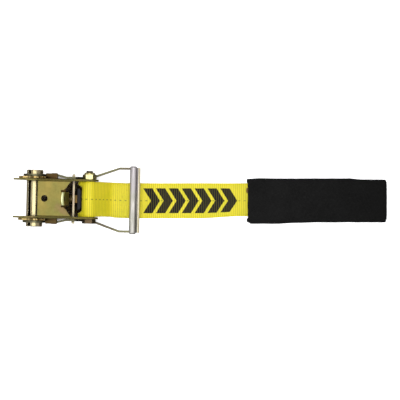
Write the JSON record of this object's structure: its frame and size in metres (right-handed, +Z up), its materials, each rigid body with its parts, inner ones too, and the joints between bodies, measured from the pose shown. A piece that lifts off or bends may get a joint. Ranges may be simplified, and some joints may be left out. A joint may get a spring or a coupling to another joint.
{
  "type": "ratchet tie down",
  "caption": "Ratchet buckle with a slotted spool and folding handle, on a short webbing tail with a sleeved soft loop.",
  "frame": {"origin": "on the floor that the tie down lies on, under the middle of its box", "axes": "+X from the spool towards the soft loop, +Y along the spool, +Z up out of the base plate"},
  "size_m": [0.531, 0.0964, 0.0465],
  "materials": {
    "yellow_zinc": "yellow passivated zinc, satin",
    "bolt_zinc": "yellow passivated zinc, brighter",
    "grip_steel": "clear zinc, drawn lines along the grip",
    "spring_steel": "oiled spring wire",
    "nylon": "natural nylon",
    "tab_plastic": "moulded, fine grain",
    "webbing_yellow": "woven polyester, cross ribs",
    "sleeve_black": "woven nylon, matt"
  },
  "bodies": {
    "frame": {"base_frame": "yellow_zinc", "anchor_bolt": "bolt_zinc", "anchor_nut": "bolt_zinc", "nut_insert": "nylon", "bolt_spacer": "bolt_zinc", "lock_spring": "spring_steel"},
    "spool": {"mandrel_half_a": "yellow_zinc", "mandrel_half_b": "yellow_zinc", "ratchet_wheel_a": "yellow_zinc", "ratchet_wheel_b": "yellow_zinc", "retaining_pin_a": "spring_steel", "retaining_pin_b": "spring_steel"},
    "lock_pawl": {"lock_pawl": "yellow_zinc"},
    "handle": {"handle_arm_a": "yellow_zinc", "handle_arm_b": "yellow_zinc", "grip_shell": "grip_steel", "grip_rod": "grip_steel", "spring_bar": "yellow_zinc", "drive_spring": "spring_steel"},
    "drive_pawl": {"drive_pawl": "yellow_zinc", "finger_tab": "tab_plastic"},
    "strap": {"webbing": "webbing_yellow", "sleeve": "sleeve_black"}
  },
  "joints": [
    {"name": "spool_spin", "type": "hinge", "parent": "frame", "child": "spool", "pos_m": [-0.236, 0, 0.02243], "axis": [0, 1, 0], "continuous": true},
    {"name": "handle_pivot", "type": "hinge", "parent": "frame", "child": "handle", "pos_m": [-0.236, 0, 0.02243], "axis": [0, 1, 0], "range_deg": [0, 180], "deforming": ["webbing"]},
    {"name": "lock_slide", "type": "slide", "parent": "frame", "child": "lock_pawl", "axis": [0.9188, 0, 0.3947], "range_m": [0, 0.0062], "stiffness_N_per_m": 300, "springref_m": -0.006, "deforming": ["lock_spring"]},
    {"name": "drive_slide", "type": "slide", "parent": "handle", "child": "drive_pawl", "axis": [0.9931, 0, -0.1175], "range_m": [-0.0038, 0.0026], "stiffness_N_per_m": 400, "deforming": ["drive_spring"]},
    {"name": "strap_swing", "type": "hinge", "parent": "frame", "child": "strap", "pos_m": [-0.15849, 0, 0.02443], "axis": [0, 1, 0], "range_deg": [0, 35]}
  ]
}
